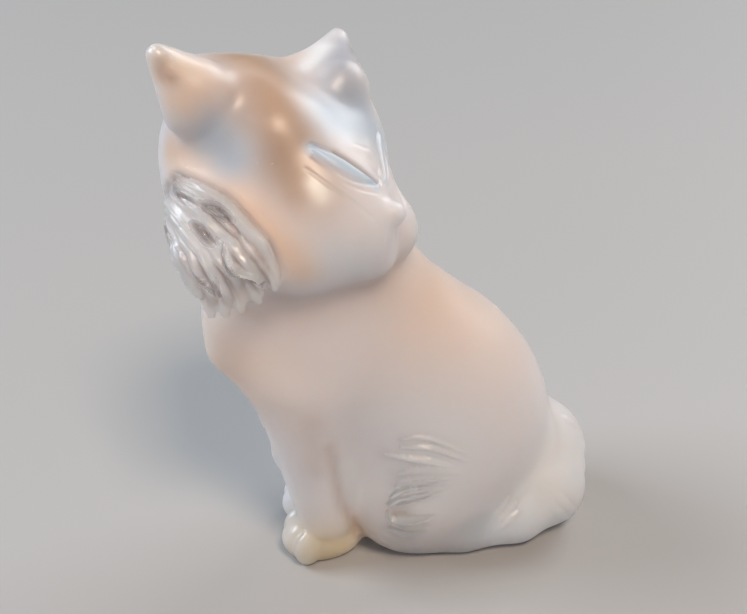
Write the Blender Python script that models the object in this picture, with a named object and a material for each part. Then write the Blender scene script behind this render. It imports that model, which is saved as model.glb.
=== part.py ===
"""A seated long-haired cat that looks back over its left shoulder, in one solid piece of satin crystal.

The cat's body faces -Y, its left side is +X and +Z is up. The origin is the middle of the flat base.
Muscles and masses are closed ellipsoids, legs and tail are tapered limbs with round ends. A voxel remesh
makes one skin of them. Swelling the skin, remeshing it and shrinking it back fills the creases with
fillets, and a flat base is ground underneath.
"""

import math

import bmesh
import bpy
from mathutils import Matrix, Vector

# Driving dimensions, in metres
HEIGHT = 0.084  # from the base to the tip of the taller ear
SKIN_VOXEL = 0.0008  # grid of the remesh that joins the forms
FILLET = 0.003  # how far the skin is swollen and shrunk back
SKIN_SMOOTHING = 8  # rounds of smoothing at the end
SKIN_SHARE = 0.18  # part of the remeshed skin's faces that is kept
CUTTER_SIDE = 0.2  # the block that grinds the base flat
BASE_EDGE_ANGLE = math.radians(60)  # only the rim of the base stays sharp

# The sculpture's own measures below are in millimetres, before the whole is brought to HEIGHT
MM = 0.001

# The head's own frame: to the cat's left, forward and up, in head half-widths
HEAD_CENTRE = Vector((-1.0, -11.5, 59.0))
HEAD_UNIT = 17.0
HEAD_YAW = math.radians(130)  # from straight ahead to over the left shoulder
HEAD_PITCH = math.radians(14)  # the face lifts
HEAD_ROLL = math.radians(11)  # the crown leans to the cat's left
HEAD_TURN = (
    Matrix.Rotation(HEAD_YAW, 3, "Z")
    @ Matrix.Rotation(-HEAD_PITCH, 3, "X")
    @ Matrix.Rotation(HEAD_ROLL, 3, "Y")
)
UPRIGHT = Matrix.Identity(3)
SIDES = (1, -1)  # left, right

# tip, crown corner and base corner of each ear, the middle of its round lower lobe and the lobe's radius
EARS = (
    ((0.76, 0.15, 1.09), (0.32, 0.10, 0.90), (0.60, 0.30, 0.56), (0.41, 0.31, 0.74), 0.25),
    ((-1.07, -0.12, 1.10), (-0.36, -0.14, 0.94), (-0.92, -0.10, 0.66), (-0.80, -0.06, 0.84), 0.22),
)
EAR_TIP_RADIUS = 0.075
EAR_EDGE_RADIUS = 0.12

# the tail round the rump: place and radius at each station
TAIL = ((-6, 22, 12, 6), (1, 27.5, 9, 7.3), (7, 26, 6.5, 6.1), (10, 20.5, 4.4, 4.1), (11, 13, 3.4, 2.7))

CRYSTAL_COLOUR = (0.86, 0.83, 0.82, 1.0)
CRYSTAL_ROUGHNESS = 0.35
CRYSTAL_IOR = 1.54
CRYSTAL_TRANSMISSION = 0.5


def clear_scene():
    for obj in list(bpy.data.objects):
        bpy.data.objects.remove(obj, do_unlink=True)


def head_point(left, forward, up):
    """A place in the head's own frame, in the sculpture's millimetres."""
    return HEAD_CENTRE + HEAD_TURN @ Vector((left, -forward, up)) * HEAD_UNIT


def add_ellipsoid(forms, centre, radii, turn=UPRIGHT):
    """A closed ellipsoid of these half-axes, turned about its own centre."""
    place = Matrix.Translation(Vector(centre) * MM) @ turn.to_4x4()
    size = Matrix.Diagonal(Vector(radii) * MM).to_4x4()
    bmesh.ops.create_icosphere(forms, subdivisions=4, radius=1.0, matrix=place @ size)


def add_head_form(forms, place, radii):
    """An ellipsoid placed, sized and turned in the head's own frame."""
    add_ellipsoid(forms, head_point(*place), Vector(radii) * HEAD_UNIT, HEAD_TURN)


def add_hull(forms, balls):
    """The convex hull of a few balls, each a centre and a radius: a rounded limb or web."""
    hull = bmesh.new()
    for centre, radius in balls:
        place = Matrix.Translation(Vector(centre) * MM)
        bmesh.ops.create_icosphere(hull, subdivisions=3, radius=radius * MM, matrix=place)
    bmesh.ops.delete(hull, geom=hull.edges[:] + hull.faces[:], context="EDGES_FACES")
    made = bmesh.ops.convex_hull(hull, input=hull.verts[:])
    inside = [item for item in made["geom_interior"] if isinstance(item, bmesh.types.BMVert)]
    bmesh.ops.delete(hull, geom=inside, context="VERTS")
    shell = bpy.data.meshes.new("hull")
    hull.to_mesh(shell)
    hull.free()
    forms.from_mesh(shell)
    bpy.data.meshes.remove(shell)


def add_limb(forms, start, end, start_radius, end_radius):
    """A tapered limb with round ends."""
    add_hull(forms, ((start, start_radius), (end, end_radius)))


def add_trunk(forms):
    """Rump, seat, back, belly, breast and neck."""
    add_ellipsoid(forms, (0, 11, 18), (16.2, 18.2, 18.2))
    add_ellipsoid(forms, (0, 10, 3), (12.5, 13.5, 5))
    add_limb(forms, (0, 8, 25), (0, -7, 42), 16.1, 13.1)
    add_ellipsoid(forms, (0, -3, 24), (11, 11, 17))
    add_ellipsoid(forms, (0, -11, 37), (10.5, 12.8, 12.3))
    add_limb(forms, (0, -5, 44), HEAD_CENTRE - Vector((0, 0, 6)), 12.4, 11.5)


def add_bib(forms):
    """The tuft of long fur that hangs over the breast."""
    add_limb(forms, (0, -17, 41), (1, -20.5, 35), 6.2, 3.6)


def add_forelegs(forms):
    """Forelegs side by side, the left one a little ahead, each with a rounded paw and four toes."""
    add_limb(forms, (4, -9.5, 33), (5, -7.5, 8), 9.2, 4.9)
    add_limb(forms, (-5, -7, 33), (-3.5, -5, 8), 8.7, 4.3)
    for centre in (Vector((4.8, -9, 3)), Vector((-3.6, -6, 3))):
        add_ellipsoid(forms, centre, (4.2, 6.5, 4.2))
        for toe in range(4):
            across = (toe - 1.5) * 2.0
            ahead = 4.6 - 0.55 * abs(toe - 1.5)
            add_ellipsoid(forms, centre + Vector((across, -ahead, 0)), (1.4, 2.3, 3.0))


def add_haunches(forms):
    """The folded hind legs, one at each side, low and round."""
    for side in SIDES:
        add_ellipsoid(forms, (6.6 * side, 7.5, 11.5), (8.7, 12.6, 13.1))


def add_tail(forms):
    """The thick tail rises from the rump, lies round it and tapers along the left haunch."""
    for near, far in zip(TAIL[:-1], TAIL[1:]):
        add_limb(forms, near[:3], far[:3], near[3], far[3])


def add_skull(forms):
    """Cranium, the head's middle, brow, bridge of the nose, left temple, nose and chin."""
    add_head_form(forms, (0, -0.24, 0.28), (0.84, 0.66, 0.76))
    add_head_form(forms, (0.05, 0.12, 0.04), (0.82, 0.54, 0.67))
    add_head_form(forms, (-0.04, 0.28, -0.02), (0.62, 0.58, 0.50))
    add_head_form(forms, (-0.15, 0.60, 0.02), (0.37, 0.32, 0.36))
    add_head_form(forms, (0.60, 0.10, 0.29), (0.32, 0.34, 0.36))
    add_head_form(forms, (-0.02, 1.03, -0.22), (0.14, 0.12, 0.12))
    add_head_form(forms, (0, 0.80, -0.58), (0.16, 0.16, 0.13))


def add_cheeks(forms):
    """Cheeks and whisker pads, and the ruff of long fur behind and below each cheek."""
    add_head_form(forms, (0.24, 0.42, -0.32), (0.43, 0.45, 0.47))
    add_head_form(forms, (-0.34, 0.42, -0.32), (0.43, 0.45, 0.47))
    add_head_form(forms, (-0.12, 0.70, -0.32), (0.27, 0.37, 0.37))
    add_head_form(forms, (0.30, 0.76, -0.40), (0.21, 0.25, 0.26))
    for side in SIDES:
        add_head_form(forms, (0.62 * side, -0.10, -0.26), (0.40, 0.48, 0.53))


def add_ears(forms):
    """Petal-shaped ears: a round lower lobe that runs up into a blunt tip, and a web down to the crown."""
    for tip, crown, base, lobe, lobe_radius in EARS:
        cup = ((lobe, lobe_radius), (tip, EAR_TIP_RADIUS))
        web = ((tip, EAR_TIP_RADIUS), (crown, EAR_EDGE_RADIUS), (base, EAR_EDGE_RADIUS))
        for balls in (cup, web):
            add_hull(forms, [(head_point(*place), radius * HEAD_UNIT) for place, radius in balls])


def crystal_material():
    material = bpy.data.materials.new("satin_crystal")
    material.use_nodes = True
    shader = material.node_tree.nodes["Principled BSDF"]
    shader.inputs["Base Color"].default_value = CRYSTAL_COLOUR
    shader.inputs["Roughness"].default_value = CRYSTAL_ROUGHNESS
    shader.inputs["Metallic"].default_value = 0.0
    shader.inputs["IOR"].default_value = CRYSTAL_IOR
    shader.inputs["Transmission Weight"].default_value = CRYSTAL_TRANSMISSION
    material.diffuse_color = CRYSTAL_COLOUR
    return material


def base_cutter():
    """A block whose top is the table: what reaches below it is ground away."""
    block = bpy.data.meshes.new("base_cutter")
    shape = bmesh.new()
    middle = Matrix.Translation((0, 0, -CUTTER_SIDE / 2))
    bmesh.ops.create_cube(shape, size=CUTTER_SIDE, matrix=middle)
    shape.to_mesh(block)
    shape.free()
    cutter = bpy.data.objects.new("base_cutter", block)
    bpy.context.scene.collection.objects.link(cutter)
    cutter.hide_render = True
    cutter.display_type = "WIRE"
    return cutter


def add_remesh(cat, name):
    remesh = cat.modifiers.new(name, "REMESH")
    remesh.mode = "VOXEL"
    remesh.voxel_size = SKIN_VOXEL


def skin_of(forms):
    """One closed skin over all the forms, cut flat underneath."""
    mesh = bpy.data.meshes.new("crystal_cat_forms")
    forms.to_mesh(mesh)
    cat = bpy.data.objects.new("crystal_cat", mesh)
    bpy.context.scene.collection.objects.link(cat)

    add_remesh(cat, "one_skin")
    for name, strength in (("swell", FILLET), ("shrink_back", -FILLET)):
        displace = cat.modifiers.new(name, "DISPLACE")
        displace.mid_level = 0
        displace.strength = strength
        add_remesh(cat, name + "_skin")
    smooth = cat.modifiers.new("soft_creases", "SMOOTH")
    smooth.iterations = SKIN_SMOOTHING
    decimate = cat.modifiers.new("fewer_faces", "DECIMATE")
    decimate.ratio = SKIN_SHARE
    grind = cat.modifiers.new("flat_base", "BOOLEAN")
    grind.operation = "DIFFERENCE"
    grind.solver = "EXACT"
    grind.object = base_cutter()
    return cat


def settle_on_base(cat):
    """Applies the modifiers, brings the height to HEIGHT and puts the origin under the middle of the box."""
    graph = bpy.context.evaluated_depsgraph_get()
    skin = bpy.data.meshes.new_from_object(cat.evaluated_get(graph))
    cat.modifiers.clear()
    cat.data = skin
    low = Vector([min(vertex.co[axis] for vertex in skin.vertices) for axis in range(3)])
    high = Vector([max(vertex.co[axis] for vertex in skin.vertices) for axis in range(3)])
    under = Vector(((low.x + high.x) / 2, (low.y + high.y) / 2, low.z))
    scale = HEIGHT / (high.z - low.z)
    skin.transform(Matrix.Scale(scale, 4) @ Matrix.Translation(-under))
    skin.shade_smooth()
    skin.set_sharp_from_angle(angle=BASE_EDGE_ANGLE)


def build():
    clear_scene()
    forms = bmesh.new()
    add_trunk(forms)
    add_bib(forms)
    add_forelegs(forms)
    add_haunches(forms)
    add_tail(forms)
    add_skull(forms)
    add_cheeks(forms)
    add_ears(forms)
    cat = skin_of(forms)
    forms.free()
    settle_on_base(cat)
    cat.data.materials.clear()
    cat.data.materials.append(crystal_material())


build()
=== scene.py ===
"""A seated long-haired cat in satin crystal that looks back over its left shoulder.

The cat is one closed skin. Its masses are soft unions of ellipsoids, tapered limbs and petals, given as a
distance field in the sculpture's own millimetres: the body faces -Y, the cat's left is +X, the table is
z = 0. The skin is refined where the fur, the eyes and the paws are cut, carved there along short curves,
and brought to the CAD node's box at the end.
"""

import math

import bmesh
import bpy
import numpy as np
import openvdb
from mathutils import Matrix, Vector


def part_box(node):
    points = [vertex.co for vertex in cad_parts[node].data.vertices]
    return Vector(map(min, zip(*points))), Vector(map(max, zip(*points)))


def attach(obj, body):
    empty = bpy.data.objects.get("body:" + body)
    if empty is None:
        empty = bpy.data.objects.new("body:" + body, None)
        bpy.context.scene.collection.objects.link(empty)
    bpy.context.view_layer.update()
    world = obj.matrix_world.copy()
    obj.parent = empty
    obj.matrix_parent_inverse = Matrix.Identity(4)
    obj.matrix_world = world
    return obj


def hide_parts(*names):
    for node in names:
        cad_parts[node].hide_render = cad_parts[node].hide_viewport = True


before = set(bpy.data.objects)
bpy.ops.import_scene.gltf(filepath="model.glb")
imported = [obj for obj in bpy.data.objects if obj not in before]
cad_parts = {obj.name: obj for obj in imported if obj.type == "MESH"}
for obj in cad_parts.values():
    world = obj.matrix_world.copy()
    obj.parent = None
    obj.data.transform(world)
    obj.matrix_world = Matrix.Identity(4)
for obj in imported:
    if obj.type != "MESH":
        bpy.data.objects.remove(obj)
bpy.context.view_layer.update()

# ---------------------------------------------------------------- forms of the distance field (millimetres)


def turn(yaw=0, pitch=0, roll=0):
    """Columns are left, back and up. Yaw turns the face towards +X, pitch lifts it, roll leans it left."""
    y, p, r = np.radians((yaw, -pitch, roll))
    about_z = np.array([[np.cos(y), -np.sin(y), 0], [np.sin(y), np.cos(y), 0], [0, 0, 1]])
    about_x = np.array([[1, 0, 0], [0, np.cos(p), -np.sin(p)], [0, np.sin(p), np.cos(p)]])
    about_y = np.array([[np.cos(r), 0, np.sin(r)], [0, 1, 0], [-np.sin(r), 0, np.cos(r)]])
    return about_z @ about_x @ about_y


def blend(a, b, soft):
    """The union of two distances, with a fillet of this softness."""
    near = np.maximum(soft - np.abs(a - b), 0) / soft
    return np.minimum(a, b) - near**3 * soft / 6


def ellipsoid(p, centre, radii, axes=None):
    q = p - np.asarray(centre, float)
    if axes is not None:
        q = q @ axes
    r = np.asarray(radii, float)
    k0 = np.linalg.norm(q / r, axis=1)
    k1 = np.linalg.norm(q / (r * r), axis=1)
    return np.where(k1 > 1e-9, k0 * (k0 - 1) / np.maximum(k1, 1e-9), -r.min())


def limb(p, a, b, ra, rb):
    """A round-ended cone from a, of radius ra, to b, of radius rb."""
    a, b = np.asarray(a, float), np.asarray(b, float)
    ba = b - a
    l2 = ba @ ba
    rr = ra - rb
    a2 = l2 - rr * rr
    pa = p - a
    y = pa @ ba
    z = y - l2
    x = pa * l2 - y[:, None] * ba
    x2 = (x * x).sum(1)
    y2 = y * y * l2
    z2 = z * z * l2
    k = np.sign(rr) * rr * rr * x2
    d = (np.sqrt(x2 * a2 / l2) + y * rr) / l2 - ra
    d = np.where(np.sign(y) * a2 * y2 < k, np.sqrt(x2 + y2) / l2 - ra, d)
    return np.where(np.sign(z) * a2 * z2 > k, np.sqrt(x2 + z2) / l2 - rb, d)


def petal(p, corners, radii):
    """A triangle with a round edge, whose half thickness runs between its corners' radii."""
    a, b, c = [np.asarray(corner, float) for corner in corners]
    ba, cb, ac = b - a, c - b, a - c
    pa, pb, pc = p - a, p - b, p - c
    normal = np.cross(ba, ac)
    v1 = c - a
    d00, d01, d11 = ba @ ba, ba @ v1, v1 @ v1
    den = d00 * d11 - d01 * d01
    d20, d21 = pa @ ba, pa @ v1
    wb = (d11 * d20 - d01 * d21) / den
    wc = (d00 * d21 - d01 * d20) / den
    wa = 1 - wb - wc

    def edge(q, e):
        r = q - np.clip(q @ e / (e @ e), 0, 1)[:, None] * e
        return (r * r).sum(1)

    inside = (wa >= 0) & (wb >= 0) & (wc >= 0)
    rim = np.minimum(np.minimum(edge(pa, ba), edge(pb, cb)), edge(pc, ac))
    flat = np.where(inside, (pa @ normal) ** 2 / (normal @ normal), rim)
    weights = np.clip(np.stack([wa, wb, wc]), 0, 1)
    return np.sqrt(flat) - (np.asarray(radii) @ weights) / weights.sum(0)


# The head's own frame: left, forward and up, in head half-widths
HEAD_CENTRE = np.array([-1.0, -11.5, 59.0])
HEAD_UNIT = 17.0
HEAD_AXES = turn(yaw=130, pitch=14, roll=11)


def at_head(left, forward, up):
    return HEAD_CENTRE + HEAD_AXES @ (np.array([left, -forward, up]) * HEAD_UNIT)


def head_mass(p, place, radii):
    return ellipsoid(p, at_head(*place), np.array(radii) * HEAD_UNIT, HEAD_AXES)


# Each ear's tip, crown corner and base corner, its round lower lobe, and its fillet to the head in mm
EARS = {
    "left": {"tip": (0.76, 0.15, 1.09), "crown": (0.32, 0.10, 0.90), "base": (0.60, 0.30, 0.56),
             "lobe": (0.34, 0.41, 0.72), "lobe_radius": 0.235, "fillet": 4.0},
    "right": {"tip": (-1.07, -0.12, 1.10), "crown": (-0.20, -0.35, 0.90), "base": (-0.92, -0.10, 0.66),
              "lobe": (-0.80, -0.06, 0.84), "lobe_radius": 0.22, "fillet": 6.5},
}
EAR_TIP_RADIUS = 0.045
EAR_CROWN_RADIUS = 0.11
EAR_BASE_RADIUS = 0.12
EAR_FILLET = 4  # between an ear's cup and its web, in mm


def ear(p, shape):
    tip, crown, base, lobe = [at_head(*shape[name]) for name in ("tip", "crown", "base", "lobe")]
    thin = EAR_TIP_RADIUS * HEAD_UNIT
    web = petal(p, (tip, crown, base), (thin, EAR_CROWN_RADIUS * HEAD_UNIT, EAR_BASE_RADIUS * HEAD_UNIT))
    cup = limb(p, lobe, tip, shape["lobe_radius"] * HEAD_UNIT, thin)
    return blend(cup, web, EAR_FILLET)


# Locks that hang from the ruff over the neck, given for the cat's right and mirrored to its left: root and
# tip in the head's frame
HANGING = (
    ((-0.80, 0.34, -0.36), (-0.80, 0.47, -0.63)),
    ((-0.88, 0.25, -0.40), (-0.80, 0.31, -0.73)),
    ((-0.90, 0.12, -0.43), (-0.88, 0.20, -0.79)),
    ((-0.94, 0.02, -0.44), (-0.90, 0.06, -0.82)),
    ((-0.96, -0.06, -0.42), (-0.90, -0.09, -0.84)),
    ((-0.96, -0.15, -0.34), (-0.90, -0.15, -0.70)),
)


HANGING_ROOT_RADIUS = 2.1
HANGING_TIP_RADIUS = 0.5
HANGING_FILLET = 3.2

# The head's masses: place and radii in the head's frame, and the fillet to the masses before it in mm
CRANIUM = ((0, -0.24, 0.28), (0.84, 0.66, 0.76))
HEAD_MASSES = (
    ((-0.04, 0.28, -0.02), (0.58, 0.54, 0.46), 9),  # brow and face
    ((-0.15, 0.60, 0.02), (0.33, 0.28, 0.32), 7),  # bridge of the nose
    ((-0.32, 0.27, 0.42), (0.36, 0.34, 0.36), 8),  # forehead
    ((-0.36, -0.04, 0.75), (0.24, 0.26, 0.22), 6),  # root of the right ear
    ((0.60, 0.10, 0.29), (0.32, 0.34, 0.36), 11),  # left temple
    ((0.26, 0.30, 0.30), (0.38, 0.34, 0.34), 8),  # left brow
    ((0.24, 0.42, -0.32), (0.42, 0.44, 0.46), 7),  # left cheek
    ((0.62, -0.10, -0.26), (0.40, 0.48, 0.53), 7),  # left ruff
    ((-0.34, 0.42, -0.32), (0.42, 0.44, 0.46), 7),  # right cheek
    ((-0.62, -0.10, -0.26), (0.40, 0.48, 0.53), 7),  # right ruff
    ((-0.12, 0.70, -0.32), (0.26, 0.36, 0.36), 6),  # right whisker pad
    ((0.30, 0.76, -0.40), (0.21, 0.25, 0.26), 4),  # left whisker pad
)
MUZZLE_MASSES = (
    ((-0.02, 1.04, -0.22), (0.11, 0.10, 0.09), 2),  # nose
    ((0, 0.80, -0.58), (0.16, 0.16, 0.13), 3),  # chin
)


def head(p):
    d = head_mass(p, *CRANIUM)
    for place, radii, fillet in HEAD_MASSES:
        d = blend(d, head_mass(p, place, radii), fillet)
    for side in (1, -1):
        for root, tip in HANGING:
            root, tip = [at_head(-side * left, forward, up) for left, forward, up in (root, tip)]
            d = blend(d, limb(p, root, tip, HANGING_ROOT_RADIUS, HANGING_TIP_RADIUS), HANGING_FILLET)
    for place, radii, fillet in MUZZLE_MASSES:
        d = blend(d, head_mass(p, place, radii), fillet)
    for shape in EARS.values():
        d = blend(d, ear(p, shape), shape["fillet"])
    return d


# Stations of the tail round the rump, in mm: place and radius
TAIL = ((-6, 22, 12, 6), (2, 28, 9.2, 7.6), (8, 27, 6.3, 6), (11, 21, 4.3, 4), (11, 13, 3.4, 2.6))


PAW_RADII = (4.2, 6.5, 4.2)
TOES = 4
TOE_RADII = (1.35, 2.2, 2.9)
TOE_SPACING = 2.0
TOE_REACH = 4.1  # from the paw's middle to the middle toes
TOE_SETBACK = 0.55  # how much further back each toe is, for each toe's width from the middle
TOE_FILLET = 0.5


def paw(p, centre):
    d = ellipsoid(p, centre, PAW_RADII)
    for toe in range(TOES):
        from_middle = toe - (TOES - 1) / 2
        across = from_middle * TOE_SPACING
        ahead = TOE_REACH - TOE_SETBACK * abs(from_middle)
        place = np.add(centre, (across, -ahead, 0))
        d = blend(d, ellipsoid(p, place, TOE_RADII), TOE_FILLET)
    return d


def body(p):
    d = ellipsoid(p, (0, 11, 18), (16, 18, 18))  # rump
    d = blend(d, ellipsoid(p, (0, 10, 3), (12.5, 13.5, 5)), 3)  # seat
    d = blend(d, limb(p, (0, 8, 25), (0, -7, 42), 16, 13), 6)  # back
    d = blend(d, ellipsoid(p, (0, -10.5, 38.5), (10, 12.2, 11.5)), 6)  # breast
    d = blend(d, limb(p, (0, -17, 41), (1, -20.2, 36.6), 6, 3.0), 4)  # bib
    d = blend(d, limb(p, (4, -9.5, 33), (5, -7.5, 8), 9, 4.8), 6)  # left foreleg
    d = blend(d, limb(p, (-5, -7, 33), (-3.5, -5, 8), 8.5, 4.2), 6)  # right foreleg
    for side in (1, -1):
        d = blend(d, ellipsoid(p, (6.6 * side, 7.5, 11.5), (8.6, 12.5, 13)), 2)  # haunch
    d = blend(d, paw(p, (4.6, -8.2, 3)), 2)
    d = blend(d, paw(p, (-3.6, -6, 3)), 2)
    d = blend(d, limb(p, (0, -5, 44), HEAD_CENTRE - (0, 0, 6), 12, 11), 6)  # neck
    tail = None
    for a, b in zip(TAIL[:-1], TAIL[1:]):
        part = limb(p, a[:3], b[:3], a[3], b[3])
        tail = part if tail is None else blend(tail, part, 3)
    return blend(d, tail, 7)


def form(p):
    """Distance to the uncut form, flat underneath."""
    d = blend(body(p), head(p), 4)
    return -blend(-d, p[:, 2], 0.8)


def slope(p, distance, step=0.05):
    """The distance's gradient at each place."""
    axes = np.eye(3) * step
    return np.stack([distance(p + a) - distance(p - a) for a in axes], -1) / (2 * step)


def onto_skin(p, distance=form, rounds=4):
    """Places moved along the gradient until they lie on the form."""
    p = np.array(p, float)
    for _ in range(rounds):
        g = slope(p, distance)
        p = p - (distance(p) / np.maximum((g * g).sum(1), 0.2))[:, None] * g
    return p


# ---------------------------------------------------------------- curves cut into the skin


SAMPLES = 14  # places along each curve


def smooth(points):
    """Evenly spread places on a smooth curve through a few points."""
    points = np.asarray(points, float)
    ends = np.concatenate([[2 * points[0] - points[1]], points, [2 * points[-1] - points[-2]]])
    t = np.linspace(0, len(points) - 1, SAMPLES)
    i = np.minimum(t.astype(int), len(points) - 2)
    u = (t - i)[:, None]
    a, b, c, e = [ends[i + k] for k in range(4)]
    return 0.5 * (2 * b + (c - a) * u + (2 * a - 5 * b + 4 * c - e) * u * u + (3 * b - a - 3 * c + e) * u**3)


def laid(courses):
    """Smooth curves through these courses, all laid on the skin at once."""
    return np.split(onto_skin(np.concatenate([smooth(course) for course in courses])), len(courses))


def along(p, curve, reach=6.0):
    """For each place, its distance from a curve, how far along the curve it is from 0 to 1, and the
    offset from the curve. Places further than reach from all of the curve keep a great distance."""
    best = np.full(len(p), 1e3)
    share = np.zeros(len(p))
    offset = np.zeros((len(p), 3))
    middle = curve.mean(0)
    radius = np.linalg.norm(curve - middle, axis=1).max() + reach
    near = np.nonzero(np.linalg.norm(p - middle, axis=1) < radius)[0]
    q = p[near]
    lengths = np.linalg.norm(np.diff(curve, axis=0), axis=1)
    starts = np.concatenate([[0], np.cumsum(lengths)])
    for i, (a, b) in enumerate(zip(curve[:-1], curve[1:])):
        e = b - a
        t = np.clip((q - a) @ e / max(e @ e, 1e-9), 0, 1)
        r = q - a - t[:, None] * e
        d = np.linalg.norm(r, axis=1)
        closer = d < best[near]
        hit = near[closer]
        best[hit] = d[closer]
        share[hit] = (starts[i] + t[closer] * lengths[i]) / starts[-1]
        offset[hit] = r[closer]
    return best, share, offset


def ease(x, low, high):
    t = np.clip((x - low) / (high - low), 0, 1)
    return t * t * (3 - 2 * t)


def soft(distance, width):
    """1 on a curve, falling smoothly to nothing past this width."""
    return np.exp(-(distance / width) ** 2)


def swell(t, start, span, power=1):
    """A profile along a curve: low at its start, full in the middle and low at its end."""
    return np.sin(np.pi * np.clip(start + span * t, 0, 1)) ** power


def mirrored(points):
    return [(-left, forward, up) for left, forward, up in points]


def in_head(points):
    return [at_head(*point) for point in points]


# Not every place in the tables from here to BODY_CUTS, and in CASTS and BODY_LINES, was laid by hand or by
# rule: many were worked out by another program and copied, among them all of RUFF_RIM and most of FACE.

# Locks of the ruff on the cat's right cheek, from the cheek back to the nape, in the head's frame. All lines
# of the ruff and the face are mirrored to the left, apart from CREASES.
RUFF = (
    ((-0.88, -0.34, 0.20), (-0.93, -0.08, 0.13), (-0.91, 0.17, 0.02), (-0.87, 0.32, -0.16),
     (-0.82, 0.41, -0.35), (-0.78, 0.48, -0.60)),
    ((-0.84, -0.46, 0.14), (-0.95, -0.22, 0.07), (-0.99, -0.01, -0.05), (-0.98, 0.13, -0.19),
     (-0.91, 0.26, -0.35), (-0.80, 0.31, -0.69)),
    ((-0.80, -0.56, 0.08), (-0.94, -0.32, 0.03), (-1.01, -0.10, -0.12), (-1.01, 0.04, -0.28),
     (-0.93, 0.16, -0.46), (-0.88, 0.20, -0.75)),
    ((-0.76, -0.62, 0.03), (-0.90, -0.40, -0.01), (-1.00, -0.18, -0.14), (-1.02, -0.04, -0.29),
     (-0.97, 0.05, -0.46), (-0.89, 0.06, -0.78)),
    ((-0.74, -0.66, -0.04), (-0.90, -0.42, -0.10), (-1.00, -0.24, -0.20), (-1.02, -0.09, -0.33),
     (-0.98, -0.04, -0.49), (-0.90, -0.09, -0.80)),
    ((-0.72, -0.70, -0.10), (-0.90, -0.46, -0.16), (-0.98, -0.31, -0.26), (-1.01, -0.18, -0.38),
     (-0.96, -0.14, -0.52), (-0.90, -0.15, -0.66)),
    ((-0.66, -0.74, -0.16), (-0.84, -0.58, -0.20), (-0.92, -0.46, -0.32), (-0.94, -0.34, -0.46),
     (-0.88, -0.28, -0.64)),
)
LOCK_WIDTH = 1.00  # half width of a lock in mm
LOCK_RISE = 1.2  # a lock's back over the floor between the locks, in mm
RUFF_FLOOR = -0.9  # the floor between the locks under the cheek, in mm
CHEEK_SHARE = 0.45  # how much of that depth the lock beside the cheek is cut to
THIN_LOCK = 0.75  # the width of the locks between the long ones, as a share
LAST_LOCK = (1.35, 0.6)  # the tallest lock's rise and width, as shares
# The tallest lock, and the rim where the cheek ends and the ruff begins
JAG = ((-0.99, 0.08, -0.19), (-0.95, 0.20, -0.32), (-0.88, 0.27, -0.46), (-0.80, 0.30, -0.60))
RUFF_RIM = ((-0.86, -0.35, 0.27), (-0.91, -0.11, 0.19), (-0.90, 0.08, 0.12), (-0.87, 0.22, 0.04),
            (-0.85, 0.33, -0.10), (-0.83, 0.41, -0.26), (-0.79, 0.48, -0.38), (-0.71, 0.54, -0.53))
# Strokes in the ruff where the crystal is polished quite clear: course in the head's frame, and half width
# in mm
POOLS = (
    (((-0.89, -0.36, 0.17), (-0.95, -0.18, 0.08), (-0.97, -0.03, 0.03)), 1.05),
    (((-0.975, 0.02, 0.02), (-0.94, 0.15, -0.04), (-0.91, 0.25, -0.12)), 1.05),
    (((-1.00, -0.07, -0.11), (-1.01, 0.02, -0.18), (-0.98, 0.09, -0.29)), 0.95),
    (((-0.97, 0.13, -0.24), (-0.93, 0.23, -0.38), (-0.86, 0.28, -0.52), (-0.80, 0.30, -0.64)), 0.55),
    (((-0.90, -0.46, -0.14), (-0.98, -0.31, -0.28), (-0.99, -0.22, -0.40)), 0.70),
    (((-0.98, -0.06, -0.44), (-0.94, -0.03, -0.60)), 0.40),
    (((-0.95, 0.09, -0.46), (-0.90, 0.12, -0.62)), 0.40),
)
# Lines of the face, in the head's frame: course, half width, height (negative is cut in), in mm
FACE = (
    (((-0.41, 0.62, 0.34), (-0.32, 0.78, 0.28), (-0.22, 0.89, 0.17), (-0.08, 0.97, 0.02)), 0.26, -0.55),
    (((-0.45, 0.68, 0.26), (-0.40, 0.82, 0.17), (-0.29, 0.93, 0.07), (-0.10, 0.98, 0.01)), 0.24, -0.28),
    (((-0.38, 0.88, 0.07), (-0.27, 0.96, 0.00), (-0.14, 1.01, -0.05)), 0.22, -0.15),
    (((-0.15, 0.81, 0.30), (-0.05, 0.84, 0.26), (0.07, 0.85, 0.20)), 0.75, 0.22),
    (((-0.53, 0.67, 0.19), (-0.47, 0.82, 0.06), (-0.36, 0.94, -0.08), (-0.25, 1.02, -0.22)), 0.26, -0.13),
    (((0.05, 0.90, 0.11), (-0.05, 0.98, 0.00)), 0.22, -0.26),
)
EYE = ((-0.43, 0.65, 0.31), (-0.36, 0.80, 0.23), (-0.26, 0.91, 0.13), (-0.12, 0.98, 0.02))
RIM_RISE = 0.20  # the cheek's edge stands this much over the skin, and the ruff's as much under it, in mm
RIM_WIDTHS = (1.8, 0.7)  # how far that reaches over the cheek and into the ruff
EYE_HALF_WIDTH = 0.76
EYE_RISE = 0.16
# Lines that only one side of the head has, as in FACE
CREASES = (
    (((-0.10, 1.10, -0.24), (-0.13, 1.07, -0.37), (-0.17, 1.02, -0.50), (-0.18, 0.93, -0.62)), 0.55, -0.28),
    (((0.60, 0.40, 0.52), (0.60, 0.54, 0.21), (0.60, 0.61, 0.02), (0.60, 0.68, -0.16), (0.56, 0.72, -0.28)),
     1.20, 0.30),
    (((0.52, 0.50, 0.45), (0.50, 0.60, 0.20), (0.46, 0.70, 0.00), (0.42, 0.79, -0.16)), 0.50, -0.22),
)


STRANDS = 9.0  # fine hair across a lock, in radians per mm
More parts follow.
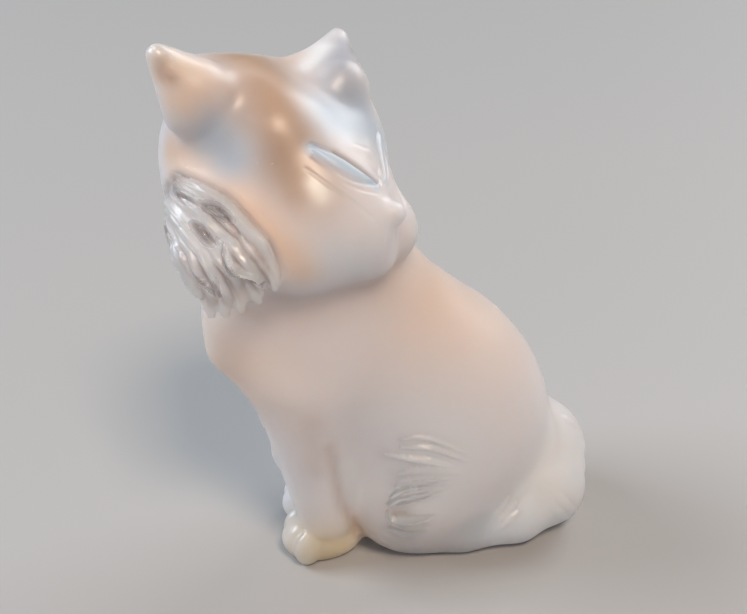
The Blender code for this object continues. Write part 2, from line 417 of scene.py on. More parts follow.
# Locks of fur on the left flank, mirrored to the right one, in mm: course, half width and height
BODY_FUR = (
    (((16.6, 10.3, 21.8), (16.3, 5.8, 24.8), (15.5, 2.8, 25.8), (14.6, 0.6, 25.4)), 0.40, 0.35),
    (((16.6, 10.4, 20.5), (16.4, 6.5, 23.1), (15.8, 3.7, 24.1), (14.6, 0.6, 24.0)), 0.45, 0.45),
    (((16.5, 9.2, 19.3), (16.2, 5.2, 21.4), (15.0, 1.5, 22.1), (13.6, -1.4, 22.4)), 0.55, 0.55),
    (((16.4, 9.5, 18.6), (16.0, 5.5, 20.0), (15.0, 2.5, 20.0), (14.0, 0.4, 19.0)), 0.75, 0.70),
    (((16.3, 8.3, 18.0), (15.8, 4.6, 18.8), (14.6, 1.7, 17.9), (13.7, 0.4, 16.4)), 0.85, 0.80),
    (((16.2, 8.4, 17.0), (15.5, 4.4, 17.4), (14.2, 1.2, 16.2), (13.3, -0.3, 14.4)), 0.50, 0.60),
    (((16.1, 7.7, 16.4), (15.3, 4.1, 16.0), (13.9, 0.9, 14.6), (13.1, -0.6, 12.8)), 0.75, 0.70),
    (((15.7, 6.3, 15.2), (14.7, 2.9, 14.2), (13.7, 0.4, 12.9)), 0.45, 0.45),
    (((15.4, 6.0, 10.8), (14.2, 1.8, 10.2), (13.5, -0.3, 10.2), (13.1, -0.8, 11.6)), 0.60, 0.60),
    (((14.9, 5.5, 9.2), (14.2, 2.3, 8.9), (13.4, 0.1, 9.4)), 0.50, 0.50),
    (((14.7, 5.0, 7.6), (13.8, 1.7, 7.4), (13.0, -0.4, 8.4)), 0.55, 0.45),
)
# Locks of the tail and the breast, which aren't mirrored
TAIL_FUR = (
    (((13.8, 15.8, 4.6), (13.6, 19.8, 6.8)), 0.40, 0.28),
    (((13.6, 16.4, 5.8), (13, 19.8, 8.4)), 0.38, 0.22),
    (((13.4, 15.8, 6.8), (13, 18.5, 10)), 0.45, 0.20),
    (((12, 25.5, 9.3), (11.5, 28, 6), (11, 30, 4)), 0.55, 0.12),
    (((12.5, 25, 7.4), (11, 28, 4.5), (10.5, 29, 3.2)), 0.50, 0.10),
    (((4.2, 29.7, 15), (4, 31.8, 12.4)), 0.60, 0.15),
    (((-4, 28, 16), (-5, 31, 12)), 0.60, 0.40),
    (((-6, 27, 15), (-8.5, 28.5, 9)), 0.70, 0.45),
    (((1, 31, 14), (1, 33.5, 9), (2, 33, 5)), 0.70, 0.20),
    (((5, 31, 10), (7, 31, 6), (7, 30.5, 3)), 0.60, 0.15),
)
BREAST_FUR = (
    (((-3, -22, 45), (-2.5, -22.5, 41), (-0.5, -22.5, 36)), 0.55, 0.15),
    (((-7, -19, 44), (-6, -19.5, 40), (-3.5, -20, 35)), 0.55, 0.14),
    (((4, -16, 21), (4.5, -15, 17)), 0.6, 0.30),
    (((1.5, -17, 27), (2, -16, 21)), 0.7, 0.30),
)
# Cuts on both sides, in mm: along the haunch's front and in the flank's fur
BODY_CUTS = (
    (((12.3, -9.1, 25.8), (11.5, -8.2, 19.8), (10.4, -6.8, 12.3), (6.8, -2.7, 2.1)), 0.75, -0.80),
    (((13.4, -0.6, 11.3), (14.3, 1.9, 11.9)), 0.9, -0.45),
)
FUR_GAIN = 1.20  # how much wider and higher than listed the body's locks are cut
FUR_POLISH = 0.18  # how clear the body's locks are, from 0 to 1
RUFF_POLISH = 0.34
POOL_POLISH = 0.92
# Other clear places: middle, width in mm and how clear. Each ear's tip is its own middle.
TAIL_POLISH = ((7, 28, 8), 8, 0.30)
PAW_POLISH = ((5, -12, 3), 6, 0.45)
EAR_TIP_POLISH = (1.6, 0.40)
LEAST_REACH = 0.05  # keeps a lock's half width from vanishing, in mm


def flanked(points):
    return [(-x, y, z) for x, y, z in points]


def fur(p, locks, side, height, polish, painted_ridge_light):
    """Locks with a round back and a tapering tip, laid over the skin."""
    top = np.zeros(len(p))
    ridge = np.zeros(len(p))
    zone = np.zeros(len(p))
    curves = laid([flanked(course) if side < 0 else course for course, _, _ in locks])
    for curve, (_, width, rise) in zip(curves, locks):
        width *= FUR_GAIN
        d, t, offset = along(p, curve, 3.0)
        reach = width * swell(t, 0.12, 0.82, 0.6)
        back = np.sqrt(np.clip(1 - (d / np.maximum(reach, LEAST_REACH)) ** 2, 0, 1))
        lock = back * ease(t, -0.05, 0.45) * (1 - 0.50 * ease(t, 0.65, 1.0))
        lock *= 1 + 0.22 * np.cos(STRANDS * offset[:, 2])
        top = np.maximum(top, rise * FUR_GAIN * lock)
        ridge = np.maximum(ridge, lock)
        zone = np.maximum(zone, soft(d, 1.8 * width) * ease(t, 0, 0.5))
        polish[:] = np.maximum(polish, FUR_POLISH * soft(d, width) * ease(t, 0, 0.5))
    height += top
    # Painted highlight on the locks' backs and painted shade around them
    painted_ridge_light += zone * (2.2 * ridge - 0.3)


def ruff(p, side, height, polish, painted_ridge_light):
    """Long locks under the cheek with sharp valleys between them, clear in places."""
    courses = [smooth(course) for course in RUFF]
    between = [((a + b) / 2)[:SAMPLES - 4:2] for a, b in zip(courses[:-1], courses[1:])]
    locks = list(enumerate(courses))
    locks += [(i + 0.5, course) for i, course in enumerate(between)]  # shorter and thinner
    locks.append((len(RUFF), np.array(JAG)))
    curves = laid([in_head(side(course)) for _, course in locks])
    top = np.zeros(len(p))
    cover = np.zeros(len(p))
    sunk = np.zeros(len(p))
    for (order, _), curve in zip(locks, curves):
        # The locks differ in height and get lower towards the nape
        tall = LOCK_RISE * (1 + 0.35 * np.sin(2.6 * order + 0.7)) * (1 - 0.07 * order)
        wide = LOCK_WIDTH * (1 if order % 1 == 0 else THIN_LOCK)
        if order == len(RUFF):
            tall, wide = LAST_LOCK[0] * LOCK_RISE, LAST_LOCK[1] * LOCK_WIDTH
        d, t, offset = along(p, curve)
        reach = wide * (0.45 + 0.55 * swell(t, 0.22, 0.72))
        hair = 1 + 0.10 * np.cos(STRANDS * (offset @ HEAD_AXES[:, 2] - 0.5 * offset @ HEAD_AXES[:, 1]))
        whole = ease(t, -0.10, 0.35) * (1 - 0.75 * ease(t, 0.75, 1.0))
        lock = tall * np.clip(1 - (d / reach) ** 2, 0, 1) ** 0.7 * hair * whole
        top = np.maximum(top, lock)
        near = soft(d, 1.3 * LOCK_WIDTH) * ease(t, -0.05, 0.10) * (1 - 0.7 * ease(t, 0.75, 1.0))
        cover = np.maximum(cover, near)
        sunk = np.maximum(sunk, ease(near, 0.05, 0.6) * (CHEEK_SHARE if order == 0 else 1))
    height += RUFF_FLOOR * sunk + top
    # Painted highlight on the locks' backs and painted shade in the valleys between them
    painted_ridge_light += ease(cover, 0.1, 0.6) * np.clip(2.2 * top / LOCK_RISE - 1, -1, 1)
    clear = RUFF_POLISH * ease(cover, 0.10, 0.90)
    for curve, (_, width) in zip(laid([in_head(side(course)) for course, _ in POOLS]), POOLS):
        d, t, _ = along(p, curve)
        pool = soft(d, width) * swell(t, 0.10, 0.80, 0.5)
        clear = np.maximum(clear, POOL_POLISH * pool * ease(cover, 0.10, 0.60))
    polish[:] = np.maximum(polish, clear)


def carve(p):
    """At each place on the skin: the cut detail's height over the uncut form, how polished it is, and
    its painted light, from -1 for painted shade in a valley between locks to 1 for a painted highlight on a
    lock's back."""
    height = np.zeros(len(p))
    polish = np.zeros(len(p))
    painted_ridge_light = np.zeros(len(p))
    for flip in (False, True):
        side = mirrored if flip else list
        ruff(p, side, height, polish, painted_ridge_light)
        lines = [course for course, _, _ in FACE] + [RUFF_RIM, EYE]
        *face, rim, eye = laid([in_head(side(course)) for course in lines])
        for curve, (_, width, rise) in zip(face, FACE):
            height += scored(p, curve, width, rise)
        d, t, offset = along(p, rim)
        above = offset @ HEAD_AXES[:, 2] > 0
        rise = np.where(above, RIM_RISE * soft(d, RIM_WIDTHS[0]), -RIM_RISE * soft(d, RIM_WIDTHS[1]))
        height += rise * ease(t, 0, 0.1) * (1 - 0.75 * ease(t, 0.45, 0.85))
        d, t, _ = along(p, eye)
        lens = EYE_HALF_WIDTH * swell(t, 0.02, 0.96, 0.7)
        height += EYE_RISE * np.clip(1 - (d / np.maximum(lens, LEAST_REACH)) ** 2, 0, 1) ** 0.5
    for curve, (_, width, rise) in zip(laid([in_head(course) for course, _, _ in CREASES]), CREASES):
        height += scored(p, curve, width, rise)
    for side in (1, -1):
        fur(p, BODY_FUR, side, height, polish, painted_ridge_light)
        cuts = laid([flanked(course) if side < 0 else course for course, _, _ in BODY_CUTS])
        for curve, (_, width, rise) in zip(cuts, BODY_CUTS):
            height += scored(p, curve, width, rise)
    fur(p, TAIL_FUR + BREAST_FUR, 1, height, polish, painted_ridge_light)
    tips = [(at_head(*shape["tip"]), *EAR_TIP_POLISH) for shape in EARS.values()]
    for place, width, clear in (TAIL_POLISH, PAW_POLISH, *tips):
        polish = np.maximum(polish, clear * soft(np.linalg.norm(p - place, axis=1), width))
    return height, polish, np.clip(painted_ridge_light, -1, 1)


def scored(p, curve, width, rise):
    """A line cut into the skin, or raised over it, that fades at both ends."""
    d, t, _ = along(p, curve)
    return rise * soft(d, width) * swell(t, 0.06, 0.88, 0.5)


# ---------------------------------------------------------------- the skin's mesh

GRID = 0.85  # spacing of the first skin, in mm
SKIP = 3  # grid places from one to the next in the first, coarse look at the field
NEAR_BAND = 2.5  # coarse steps from the surface within which every place is worked out
FAR = 9.0  # the distance given to all places outside the grid, in mm
LOW_CORNER = (-24.0, -34.0, -2.0)
HIGH_CORNER = (24.0, 38.0, 92.0)


def first_skin():
    """Quads over the zero surface of the distance field."""
    counts = [int((high - low) / GRID) + 1 for low, high in zip(LOW_CORNER, HIGH_CORNER)]
    ticks = [low + GRID * np.arange(count) for low, count in zip(LOW_CORNER, counts)]
    places = np.stack(np.meshgrid(*ticks, indexing="ij"), -1)
    coarse = places[::SKIP, ::SKIP, ::SKIP]
    values = form(coarse.reshape(-1, 3)).reshape(coarse.shape[:3])
    for axis in range(3):
        values = values.repeat(SKIP, axis).take(np.arange(counts[axis]), axis)
    near = np.abs(values) < NEAR_BAND * SKIP * GRID
    values[near] = form(places[near])
    values = values.astype(np.float32)
    grid = openvdb.FloatGrid(background=FAR)
    grid.copyFromArray(values)
    points, quads = grid.convertToQuads(isovalue=0.0)
    points = np.asarray(points, float) * GRID + LOW_CORNER
    return points, np.asarray(quads)


# Zones where the skin is halved: three ranges and how many times it is halved there. In the head's frame the
# ranges are to a side, either one, then forward and up; on the body they are x, y and z in mm.
ALL = math.inf
HEAD_ZONES = (
    ((0.62, ALL), (-0.72, 0.60), (-0.92, 0.28), 2),  # ruffs
    ((-ALL, 0.62), (0.48, ALL), (-0.32, 0.44), 2),  # lines of the face
    ((0.3, ALL), (-ALL, ALL), (0.45, ALL), 1),  # ears
)
BODY_ZONES = (
    ((12.2, ALL), (-2.5, 11), (6.5, 27), 2),  # fur on the left flank
    ((8, ALL), (-5, 14), (-ALL, 30), 1),  # left haunch
    ((-ALL, -8), (-5, 14), (-ALL, 30), 1),  # right haunch
    ((-ALL, ALL), (14, ALL), (-ALL, 20), 1),  # tail
    ((-ALL, ALL), (-ALL, -6), (-ALL, 9), 1),  # paws
    ((-ALL, ALL), (-ALL, -16), (14, 46), 1),  # breast
)


def within(places, box):
    low, high = np.transpose(box)
    return ((places > low) & (places < high)).all(1)


def fine_zone(p):
    """How many times the skin is halved at each place."""
    q = (p - HEAD_CENTRE) @ HEAD_AXES / HEAD_UNIT
    on_head = np.stack([np.abs(q[:, 0]), -q[:, 1], q[:, 2]], -1)
    level = np.zeros(len(p), int)
    for places, zones in ((on_head, HEAD_ZONES), (p, BODY_ZONES)):
        for *box, times in zones:
            level = np.maximum(level, np.where(within(places, box), times, 0))
    return level


def refine(skin, level):
    """Halves the faces whose middle asks for this level or more, and lays the new places on the form."""
    middles = np.array([face.calc_center_median() for face in skin.faces])
    wanted = fine_zone(middles) >= level
    edges = {edge for face, chosen in zip(skin.faces, wanted) if chosen for edge in face.edges}
    old = set(skin.verts)
    bmesh.ops.subdivide_edges(skin, edges=list(edges), cuts=1, use_grid_fill=True)
    settle([vertex for vertex in skin.verts if vertex not in old], 2)


def settle(vertices, rounds):
    places = onto_skin([vertex.co for vertex in vertices], rounds=rounds)
    places[:, 2] = np.maximum(places[:, 2], 0)
    for vertex, place in zip(vertices, places):
        vertex.co = place


# The crystal's tones, with light and shade painted over them
PLAIN = np.array((0.90, 0.87, 0.885))
CLEAR = np.array((0.97, 0.96, 0.96))
# Painted shade: for valleys between locks and the dark seen through clear places
PAINTED_SHADE_DEEP = np.array((0.62, 0.56, 0.54))
# Painted shadow: a warm brown shade
PAINTED_SHADOW_UMBER = np.array((0.58, 0.46, 0.40))
# Painted shade: a warm brown for the dark surroundings seen through the glass
PAINTED_BROWN_SHADE = np.array((0.46, 0.27, 0.14))
# Painted light: the warm lamp's light on the crystal
PAINTED_WARM_LIGHT = np.array((0.92, 0.68, 0.52))
# Painted light: the cool window's light on the crystal
PAINTED_COOL_LIGHT = np.array((0.66, 0.78, 0.88))
# Painted light: a dim, darker blue-grey cool light
PAINTED_DIM_COOL_LIGHT = np.array((0.56, 0.67, 0.79))
# Painted reflection: the pale blue of cool light in the polished eyes
PAINTED_EYE_REFLECTION = np.array((0.52, 0.70, 0.88))
# Painted glow: warm light focused through the crystal into the forepaw
PAINTED_PAW_GLOW = np.array((1.00, 0.72, 0.40))
# Painted light: a bluish white for highlights and brightly lit places
PAINTED_LIGHT_WHITE = np.array((0.95, 0.98, 1.00))
# Painted shade: a dark blue-grey
PAINTED_SHADE_GREY = np.array((0.42, 0.45, 0.51))
# Painted shade: dark grey for the cut of an eyelid
PAINTED_LID_SHADE = np.array((0.42, 0.38, 0.38))
# Painted highlight: a warm white
PAINTED_CHEEK_HIGHLIGHT = np.array((1.00, 0.95, 0.86))
CLEAR_SHARE = 0.6  # how far polish turns the tone to CLEAR
RIDGE_HIGHLIGHT_SHARE = 0.55  # how far a lock's back turns to the painted highlight
VALLEY_SHADE_SHARE = 0.85  # how far a valley between locks turns to the painted shade
POOL_SHADE_SHARE = 0.8  # how far the clearest places turn to the painted shade, for the dark seen through them
# Painted light, shade, highlights and reflections over the tone: colour, course in the head's frame, width in
# mm and strength
CASTS = (
    # Painted shade down the forehead and over the crown, for the dark surroundings seen through the glass
    (PAINTED_BROWN_SHADE, ((-0.25, 0.03, 0.94), (-0.34, 0.24, 0.71), (-0.43, 0.37, 0.48), (-0.53, 0.53, 0.28),
             (-0.59, 0.67, 0.09)), 4.9, 0.80),
    (PAINTED_BROWN_SHADE, ((-0.36, -0.05, 1.00), (-0.06, 0.00, 0.99), (0.17, 0.10, 0.92)), 4.4, 0.45),
    (PAINTED_BROWN_SHADE, ((-0.36, 0.10, 0.86), (-0.44, 0.30, 0.60)), 5.4, 0.35),
    # Painted warm light along the right cheek's edge above the ruff
    (PAINTED_WARM_LIGHT, ((-0.83, -0.33, 0.39), (-0.85, 0.08, 0.20), (-0.83, 0.35, -0.08), (-0.77, 0.54, -0.32),
             (-0.66, 0.63, -0.52)), 2.8, 0.95),
    # Painted dim cool light on the right temple under the right ear
    (PAINTED_DIM_COOL_LIGHT, ((-0.95, 0.06, 0.64), (-0.74, 0.03, 0.49), (-0.74, 0.17, 0.32)), 3.5, 0.90),
    # Painted cool light across the forehead beside the stripe
    (PAINTED_COOL_LIGHT, ((-0.15, 0.54, 0.47), (0.06, 0.63, 0.41), (0.51, 0.56, 0.28)), 3.4, 0.70),
    # Painted warm light on the right ear
    (PAINTED_WARM_LIGHT, ((-1.08, 0.00, 1.02), (-0.93, 0.10, 0.93), (-1.02, 0.02, 0.78)), 3.6, 0.70),
    # Painted shade near the right ear's tip
    (PAINTED_SHADOW_UMBER, ((-1.12, -0.05, 1.05), (-1.12, -0.06, 0.98), (-1.07, -0.02, 0.94)), 1.2, 0.90),
    # Painted highlight on the right cheek under the eye
    (PAINTED_CHEEK_HIGHLIGHT, ((-0.55, 0.74, 0.09), (-0.54, 0.80, 0.00)), 1.3, 0.85),
    # Painted shade over the left ear
    (PAINTED_SHADE_GREY, ((0.17, 0.60, 0.68), (0.22, 0.52, 0.84), (0.60, 0.34, 1.02)), 3.4, 0.90),
    # Painted shade at the lower end of the forehead's stripe
    (PAINTED_BROWN_SHADE, ((-0.43, 0.37, 0.48), (-0.55, 0.57, 0.22)), 3.6, 0.35),
    # Painted highlight streak along the left ear's inner edge
    (PAINTED_LIGHT_WHITE, ((0.44, 0.22, 1.03), (0.29, 0.24, 0.93), (0.21, 0.22, 0.83)), 1.5, 0.90),
    # Painted dim cool light that darkens the front of the brow
    (PAINTED_DIM_COOL_LIGHT, ((-0.10, 0.64, 0.54), (0.06, 0.66, 0.50), (0.25, 0.60, 0.44)), 3.8, 0.80),
    # Painted light on the right ruff's lower end, against its shade
    (PAINTED_LIGHT_WHITE, ((-0.84, 0.32, -0.58), (-0.94, 0.06, -0.66), (-0.93, -0.12, -0.62)), 3.6, 0.75),
    # Painted reflection in the right eye, and a fainter one in the left
    (PAINTED_EYE_REFLECTION, EYE, 0.95, 0.90),
    (PAINTED_EYE_REFLECTION, mirrored(EYE), 0.95, 0.35),
    # Painted cool light on the lower face
    (PAINTED_COOL_LIGHT, ((-0.50, 0.82, -0.49), (-0.29, 0.90, -0.58)), 3.5, 0.40),
    # Painted shade in the right upper eyelid's cut
    (PAINTED_LID_SHADE, ((-0.32, 0.78, 0.28), (-0.22, 0.89, 0.17), (-0.08, 0.97, 0.02)), 0.30, 0.75),
)
# The same painted light and shade on the body, with courses in mm
BODY_LINES = (
    # Painted shadow of the head on the neck under the jaw
    (PAINTED_SHADOW_UMBER, ((13.6, -20.0, 48.0), (12.3, -11.5, 47.8), (12.7, -5.9, 48.4), (11.1, -0.4, 48.5)), 4.2, 0.45),
    # Painted shade between the left foreleg and haunch
    (PAINTED_SHADOW_UMBER, ((12.4, -11.7, 28.9), (11.1, -10.6, 20.1)), 2.2, 0.30),
    # Painted shade in the haunch's front groove
    (PAINTED_SHADOW_UMBER, ((12.3, -9.3, 24.0), (11.3, -8.2, 19.0), (10.3, -6.9, 12.3), (6.8, -3.0, 2.6)), 0.9, 0.45),
    # Painted highlight on the edge beside the haunch's front groove
    (PAINTED_LIGHT_WHITE, ((11.4, -6.2, 20.0), (10.2, -4.8, 12.7)), 1.6, 0.60),
    # Painted shade in the flank's cut
    (PAINTED_SHADOW_UMBER, ((13.6, 0.0, 11.7), (14.2, 1.7, 11.9)), 1.2, 0.45),
    # Painted cool light at the tail's root
    (PAINTED_COOL_LIGHT, ((14.3, 13.6, 5.5), (14.5, 19.3, 5.1), (12.0, 25.0, 5.0)), 4.0, 0.65),
    # Painted shade where the tail meets the rump
    (PAINTED_SHADOW_UMBER, ((5.1, 28.1, 19.6), (6.8, 28.5, 15.6), (10.1, 27.9, 12.3)), 0.8, 0.35),
)
# Round painted light on the body: colour, middle in mm, width in mm and strength. Painted warm light on the
# upper back, the back behind it and the chest, painted cool light on the flank, a painted glow on the left
# forepaw, and painted light on the tail and on the left haunch's tuft
BODY_CASTS = ((PAINTED_WARM_LIGHT, (6, 6, 43), 10, 0.80), (PAINTED_WARM_LIGHT, (6, 16, 37), 12, 0.50), (PAINTED_COOL_LIGHT, (15, 6, 27), 11, 0.30),
              (PAINTED_WARM_LIGHT, (3, -18, 37), 10, 0.85), (PAINTED_PAW_GLOW, (7, -8, 2), 6.5, 1.0), (PAINTED_LIGHT_WHITE, (8, 28, 8), 10, 1.0),
              (PAINTED_LIGHT_WHITE, (15, 4, 18), 6.0, 0.90))


def tone_and_painted_light(p, polish, painted_ridge_light):
    """The crystal's colour at each place, with painted light, shade, highlights and reflections laid over it.
    """
    tone = np.tile(PLAIN, (len(p), 1))
    lines = CASTS + BODY_LINES
    curves = laid([in_head(course) for _, course, _, _ in CASTS] + [course for _, course, _, _ in BODY_LINES])
    shares = [(colour, width, strength, along(p, curve, 3 * width)[0])
              for curve, (colour, _, width, strength) in zip(curves, lines)]
    shares += [(colour, width, strength, np.linalg.norm(p - place, axis=1))
               for colour, place, width, strength in BODY_CASTS]
    for colour, width, strength, distance in shares:
        tone += (strength * soft(distance, width))[:, None] * (colour - tone)
    tone += CLEAR_SHARE * polish[:, None] * (CLEAR - tone)
    # Painted highlight on the locks' backs and painted shade in the valleys
    tone += RIDGE_HIGHLIGHT_SHARE * np.maximum(painted_ridge_light, 0)[:, None] * (PAINTED_LIGHT_WHITE - tone)
    tone += VALLEY_SHADE_SHARE * np.maximum(-painted_ridge_light, 0)[:, None] * (PAINTED_SHADE_DEEP - tone)
    # Painted shade in the clearest places, for the dark seen through the glass
    return tone + POOL_SHADE_SHARE * ease(polish, 0.45, 0.90)[:, None] * (PAINTED_SHADE_DEEP - tone)


FOOT_EDGE = 0.8  # the cut detail fades out down to the table over this height, in mm


def sculpture():
    """The carved cat as one mesh in the row frame, with its polish and its tone, painted light and shade
    included, on the vertices, and the function that brings a place from the sculpture's mm to the row frame."""
    points, quads = first_skin()
    mesh = bpy.data.meshes.new("crystal_cat_skin")
    mesh.from_pydata(points.tolist(), [], quads.tolist())
    skin = bmesh.new()
    skin.from_mesh(mesh)
    bmesh.ops.recalc_face_normals(skin, faces=skin.faces[:])
    settle(skin.verts[:], 2)
    for level in (1, 2):
        refine(skin, level)
    bmesh.ops.triangulate(skin, faces=skin.faces[:])
    bmesh.ops.beautify_fill(skin, faces=skin.faces[:], edges=skin.edges[:])
    places = np.array([vertex.co for vertex in skin.verts])
    normals = slope(places, form)
    normals /= np.linalg.norm(normals, axis=1)[:, None]
    height, polish, painted_ridge_light = carve(places)
    height *= ease(places[:, 2], 0.0, FOOT_EDGE)
    tone = tone_and_painted_light(places, polish, painted_ridge_light)
    places = places + height[:, None] * normals
    places[:, 2] = np.maximum(places[:, 2], 0)
    low, high = places.min(0), places.max(0)
    scale = (cad_high[2] - cad_low[2]) / (high[2] - low[2])
    under = np.array([(low[0] + high[0]) / 2, (low[1] + high[1]) / 2, low[2]])
    foot = np.array([(cad_low[0] + cad_high[0]) / 2, (cad_low[1] + cad_high[1]) / 2, cad_low[2]])
    for vertex, place in zip(skin.verts, (places - under) * scale + foot):
        vertex.co = place
    skin.to_mesh(mesh)
    skin.free()
    mesh.shade_smooth()
    mesh.attributes.new("polish", "FLOAT", "POINT").data.foreach_set("value", polish.astype(np.float32))
    colours = np.column_stack([tone, np.ones(len(tone))]).astype(np.float32)
    mesh.attributes.new("tone", "FLOAT_COLOR", "POINT").data.foreach_set("color", colours.ravel())
    return mesh, (lambda p: Vector((np.asarray(p, float) - under) * scale + foot))


cad_low, cad_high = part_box("crystal_cat")
mesh, to_row = sculpture()
cat = bpy.data.objects.new("crystal_cat_carved", mesh)
bpy.context.scene.collection.objects.link(cat)
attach(cat, "root")
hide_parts("crystal_cat")


# ---------------------------------------------------------------- satin crystal

GLOW_DEPTH = 0.008  # how far light travels inside the frosted crystal, in m
SATIN_ROUGHNESS = (0.36, 0.46)
POLISHED_ROUGHNESS = 0.06
SATIN_TRANSMISSION = 0.40
POLISHED_TRANSMISSION = 0.97
MOTTLE = (0.95, 1.03)  # how much the tone varies in soft clouds
CLOUD_SCALE = 90.0  # clouds per m
GRAIN_SCALE = 5200.0  # grains of the frost per m
GRAIN_DEPTH = 0.00005  # in m


def satin_crystal():
    """Acid-satined lead crystal: finely frosted all over, polished clear in the cut fur and at the ear tips.
    """
    material = bpy.data.materials.new("satin_crystal_cut")
    material.use_nodes = True
    nodes, links = material.node_tree.nodes, material.node_tree.links
    shader = nodes["Principled BSDF"]
    shader.inputs["IOR"].default_value = 1.54
    shader.inputs["Metallic"].default_value = 0.0
    shader.inputs["Subsurface Radius"].default_value = (1.0, 0.85, 0.75)
    shader.inputs["Subsurface Scale"].default_value = GLOW_DEPTH
    shader.inputs["Subsurface Weight"].default_value = 0.9
    shader.inputs["Coat Weight"].default_value = 0.16
    shader.inputs["Coat Roughness"].default_value = 0.30

    def node(kind, **values):
        made = nodes.new(kind)
        for name, value in values.items():
            setattr(made, name, value)
        return made

    place = node("ShaderNodeTexCoord")
    polish = node("ShaderNodeAttribute", attribute_name="polish")
    tone = node("ShaderNodeAttribute", attribute_name="tone")
    cloud = node("ShaderNodeTexNoise")
    cloud.inputs["Scale"].default_value = CLOUD_SCALE
    cloud.inputs["Detail"].default_value = 4.0
    links.new(place.outputs["Object"], cloud.inputs["Vector"])
    grain = node("ShaderNodeTexNoise")
    grain.inputs["Scale"].default_value = GRAIN_SCALE
    grain.inputs["Detail"].default_value = 2.0
    links.new(place.outputs["Object"], grain.inputs["Vector"])

    # The base colour is the vertex tone, painted light and shade included, varied in soft clouds
    mottle = node("ShaderNodeMapRange")
    mottle.inputs["To Min"].default_value, mottle.inputs["To Max"].default_value = MOTTLE
    links.new(cloud.outputs["Fac"], mottle.inputs["Value"])
    shaded = node("ShaderNodeVectorMath", operation="SCALE")
    links.new(tone.outputs["Color"], shaded.inputs["Vector"])
    links.new(mottle.outputs["Result"], shaded.inputs["Scale"])
    links.new(shaded.outputs["Vector"], shader.inputs["Base Color"])

    satin = node("ShaderNodeMapRange")
    satin.inputs["To Min"].default_value, satin.inputs["To Max"].default_value = SATIN_ROUGHNESS
    links.new(cloud.outputs["Fac"], satin.inputs["Value"])
    gloss = node("ShaderNodeMix", data_type="FLOAT")
    links.new(polish.outputs["Fac"], gloss.inputs[0])
    links.new(satin.outputs["Result"], gloss.inputs[2])
    gloss.inputs[3].default_value = POLISHED_ROUGHNESS
    links.new(gloss.outputs[0], shader.inputs["Roughness"])

    clear = node("ShaderNodeMix", data_type="FLOAT")
    links.new(polish.outputs["Fac"], clear.inputs[0])
    clear.inputs[2].default_value = SATIN_TRANSMISSION
    clear.inputs[3].default_value = POLISHED_TRANSMISSION
    links.new(clear.outputs[0], shader.inputs["Transmission Weight"])

    bump = node("ShaderNodeBump")
    bump.inputs["Strength"].default_value = 0.06
    bump.inputs["Distance"].default_value = GRAIN_DEPTH
    links.new(grain.outputs["Fac"], bump.inputs["Height"])
    links.new(bump.outputs["Normal"], shader.inputs["Normal"])
    return material


mesh.materials.append(satin_crystal())


# ---------------------------------------------------------------- floor, camera and light

FLOOR_HALF = 3.0  # half the floor's side, in m
FLOOR_GREY = 0.33


def plain_floor():
    floor_mesh = bpy.data.meshes.new("floor")
    shape = bmesh.new()
    bmesh.ops.create_grid(shape, x_segments=8, y_segments=8, size=FLOOR_HALF)
    shape.to_mesh(floor_mesh)
    shape.free()
    floor_object = bpy.data.objects.new("floor", floor_mesh)
    bpy.context.scene.collection.objects.link(floor_object)
    floor_object.location.z = cad_low[2]
    material = bpy.data.materials.new("pale_floor")
    material.use_nodes = True
    shader = material.node_tree.nodes["Principled BSDF"]
    shader.inputs["Base Color"].default_value = (FLOOR_GREY, FLOOR_GREY, FLOOR_GREY, 1)
    shader.inputs["Roughness"].default_value = 0.6
    floor_mesh.materials.append(material)


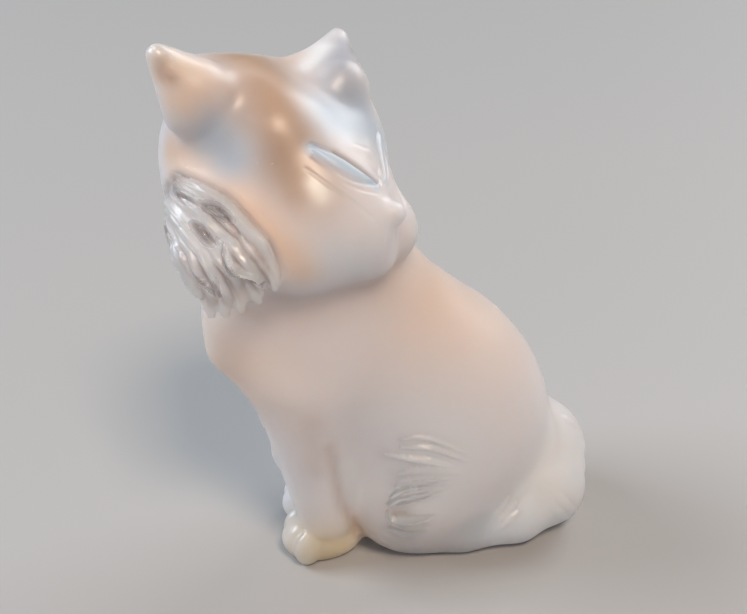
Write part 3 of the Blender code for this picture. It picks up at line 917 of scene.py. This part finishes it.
AZIMUTH, ELEVATION = math.radians(72), math.radians(29)
DISTANCE = 175.0  # from the aim to the eye, in the sculpture's mm
AIM = (0, 0, 40)
FRAME_WIDTH = 747
FOCUS = 1215  # focal length in widths of a picture element
SHIFT = (8.5, -7)  # how far the frame is shifted right and up, in the same unit
SENSOR_WIDTH = 36
right = np.array([math.cos(AZIMUTH), math.sin(AZIMUTH), 0])
away = np.array([-math.sin(AZIMUTH) * math.cos(ELEVATION), math.cos(AZIMUTH) * math.cos(ELEVATION),
                 -math.sin(ELEVATION)])
up = np.cross(right, away)


def place_camera():
    lens = bpy.data.cameras.new("camera")
    eye = bpy.data.objects.new("camera", lens)
    bpy.context.scene.collection.objects.link(eye)
    lens.sensor_width = SENSOR_WIDTH
    lens.lens = SENSOR_WIDTH * FOCUS / FRAME_WIDTH
    lens.shift_x = SHIFT[0] / FRAME_WIDTH
    lens.shift_y = SHIFT[1] / FRAME_WIDTH
    lens.clip_start = 0.005
    axes = Matrix((right, up, -away)).transposed()
    eye.matrix_world = Matrix.Translation(to_row(np.array(AIM) - away * DISTANCE)) @ axes.to_4x4()
    bpy.context.scene.camera = eye


CAT_MIDDLE = Vector((0, 0, 0.045))


def area_light(name, direction, distance, size, power, colour):
    """A soft square light that faces the cat. Its direction counts to the camera's right, away from the
    camera on the level, and up."""
    lamp = bpy.data.lights.new(name, "AREA")
    lamp.energy = power
    lamp.size = size
    lamp.color = colour
    holder = bpy.data.objects.new(name, lamp)
    bpy.context.scene.collection.objects.link(holder)
    level = np.array([away[0], away[1], 0]) / np.hypot(away[0], away[1])
    toward = np.stack([right, level, (0, 0, 1)], -1) @ np.array(direction)
    holder.location = Vector(toward / np.linalg.norm(toward) * distance) + CAT_MIDDLE
    holder.rotation_euler = (CAT_MIDDLE - holder.location).to_track_quat("-Z", "Y").to_euler()


plain_floor()
place_camera()
area_light("warm_key", (0.18, -0.53, 0.83), 1.2, 0.30, 11.0, (1.0, 0.80, 0.64))
area_light("cool_window", (-0.75, 0.10, 0.60), 1.3, 0.70, 16.0, (0.84, 0.92, 1.0))
area_light("back_fill", (0.60, 0.60, 0.60), 1.3, 0.80, 9.5, (0.94, 0.97, 1.0))

world = bpy.data.worlds.new("studio")
bpy.context.scene.world = world
world.use_nodes = True
world.node_tree.nodes["Background"].inputs["Color"].default_value = (0.80, 0.84, 0.90, 1)
world.node_tree.nodes["Background"].inputs["Strength"].default_value = 0.26

bpy.context.scene.view_settings.view_transform = "Standard"
